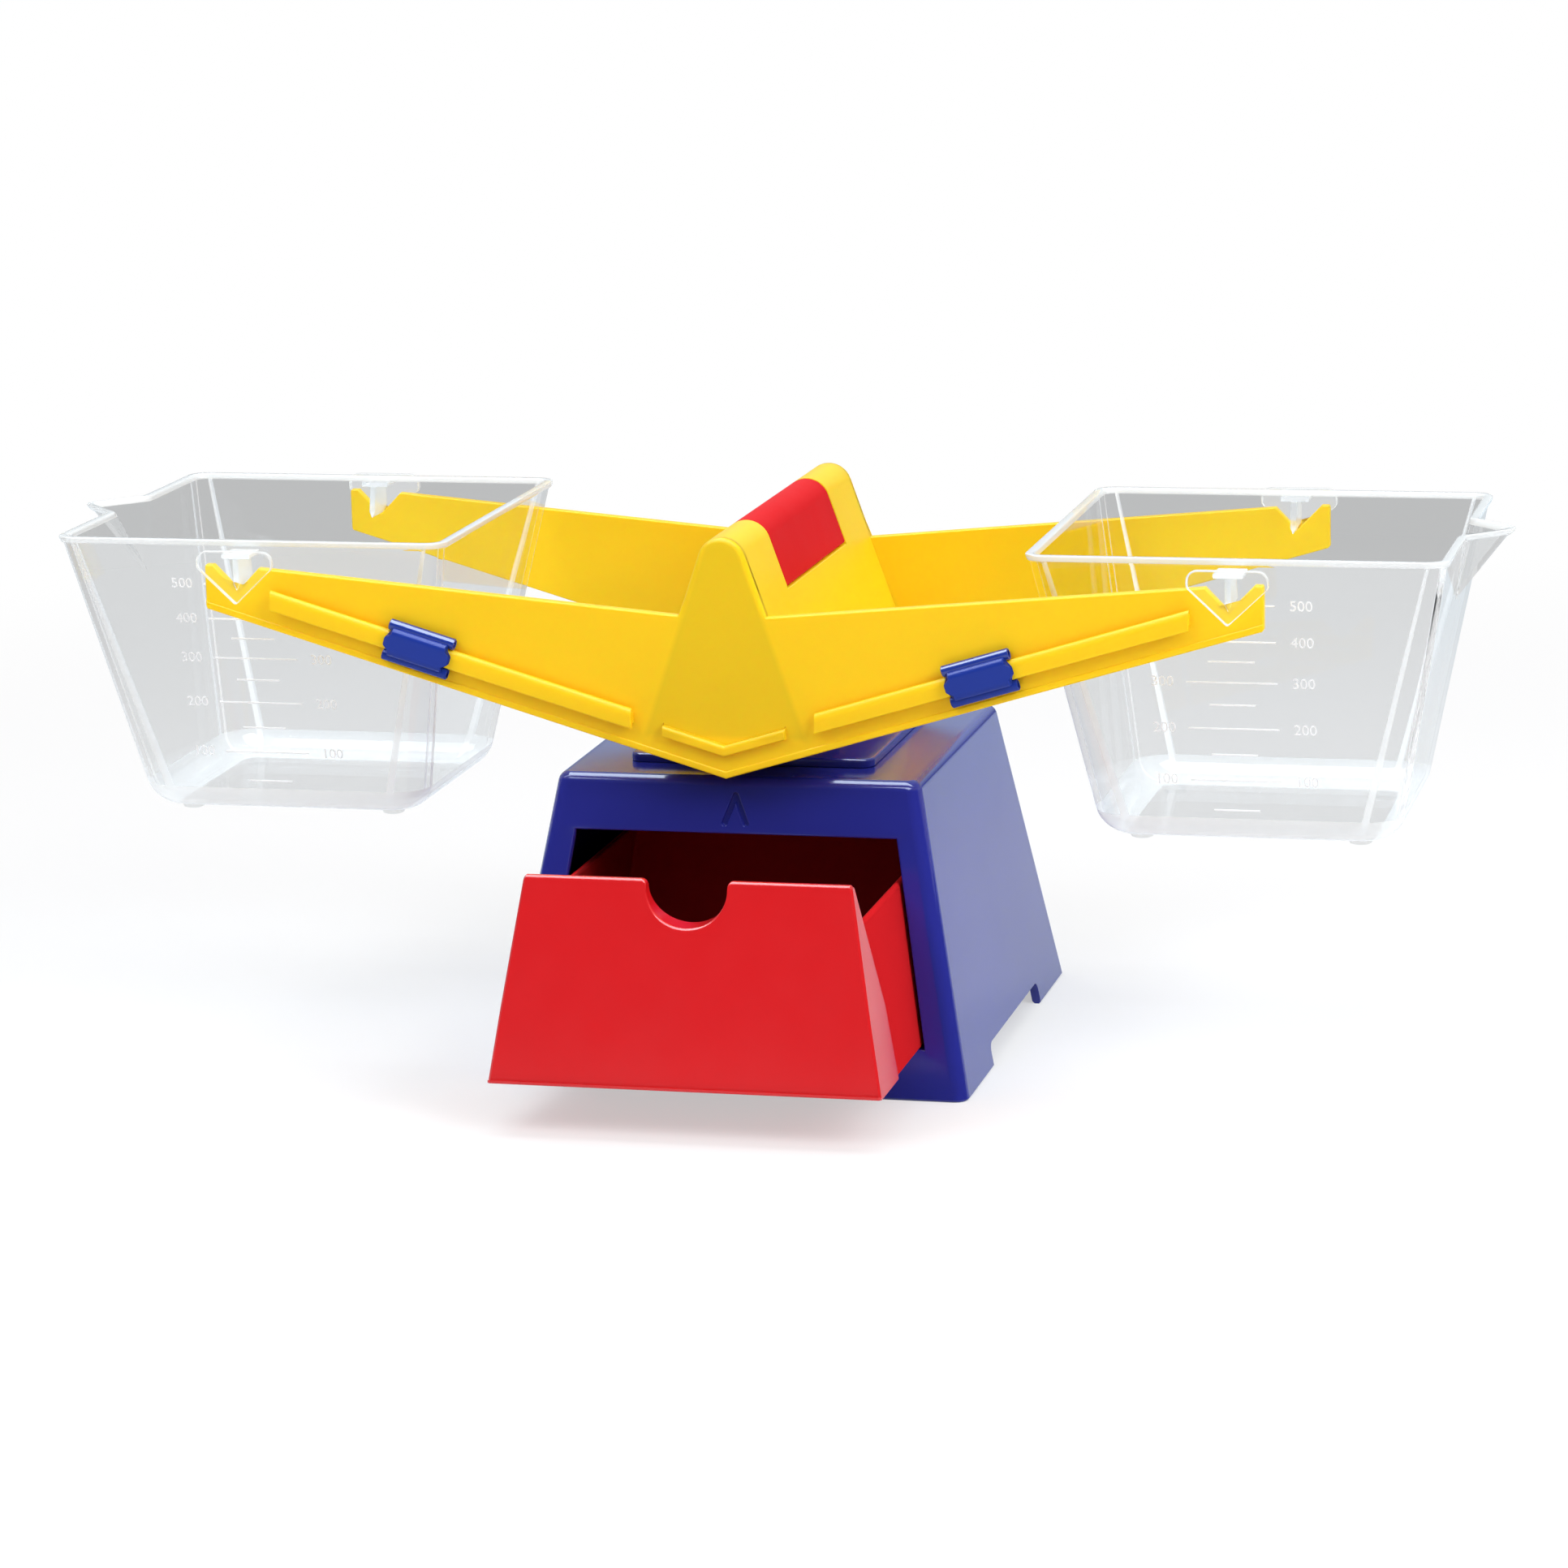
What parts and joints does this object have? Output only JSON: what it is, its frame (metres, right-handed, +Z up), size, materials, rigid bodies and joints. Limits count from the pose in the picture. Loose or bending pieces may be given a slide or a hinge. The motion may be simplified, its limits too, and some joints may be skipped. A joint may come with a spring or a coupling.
{
  "type": "bucket balance",
  "caption": "Toy bucket balance: a rocking V-shaped beam with sliding zeroing clips carries clear hanging buckets with pouring spouts, over a pyramid base with a pull-out drawer.",
  "frame": {"origin": "centre of the bounding box, at the height of the surface that the base stands on, with the drawer partly open", "axes": "+X to the right along the beam, seen from the drawer's side; +Y away from the drawer's side; +Z up"},
  "size_m": [0.4104, 0.1908, 0.1525],
  "materials": {
    "blue_plastic": "glossy moulded dark blue",
    "yellow_plastic": "glossy moulded yellow",
    "red_plastic": "glossy moulded red",
    "clear_plastic": "clear glossy plastic",
    "screw_steel": "plain zinc-coated steel"
  },
  "bodies": {
    "base": {"base_housing": "blue_plastic", "base_floor": "blue_plastic", "floor_screw_1": "screw_steel", "floor_screw_2": "screw_steel", "floor_screw_3": "screw_steel", "floor_screw_4": "screw_steel", "fulcrum_post": "blue_plastic", "post_screw_front": "screw_steel", "post_screw_rear": "screw_steel"},
    "beam": {"beam": "yellow_plastic", "ridge_cap": "red_plastic"},
    "slider_left": {"slider_left": "blue_plastic"},
    "slider_right": {"slider_right": "blue_plastic"},
    "bucket_left": {"bucket_left": "clear_plastic"},
    "bucket_right": {"bucket_right": "clear_plastic"},
    "drawer": {"drawer": "red_plastic"}
  },
  "joints": [
    {"name": "beam_tilt", "type": "hinge", "parent": "base", "child": "beam", "pos_m": [0, 0.02435, 0.14506], "axis": [0, 1, 0], "range_deg": [-12, 12]},
    {"name": "bucket_left_swing", "type": "hinge", "parent": "beam", "child": "bucket_left", "pos_m": [-0.1372, 0.02435, 0.1353], "axis": [0, 1, 0], "range_deg": [-18, 18]},
    {"name": "bucket_right_swing", "type": "hinge", "parent": "beam", "child": "bucket_right", "pos_m": [0.1372, 0.02435, 0.1353], "axis": [0, 1, 0], "range_deg": [-18, 18]},
    {"name": "slider_left_slide", "type": "slide", "parent": "beam", "child": "slider_left", "axis": [-0.9581, 0, 0.2865], "range_m": [-0.0517, 0.0255]},
    {"name": "slider_right_slide", "type": "slide", "parent": "beam", "child": "slider_right", "axis": [0.9581, 0, 0.2865], "range_m": [-0.0367, 0.0401]},
    {"name": "drawer_slide", "type": "slide", "parent": "base", "child": "drawer", "axis": [0, -1, 0], "range_m": [-0.0515, 0.045]}
  ]
}
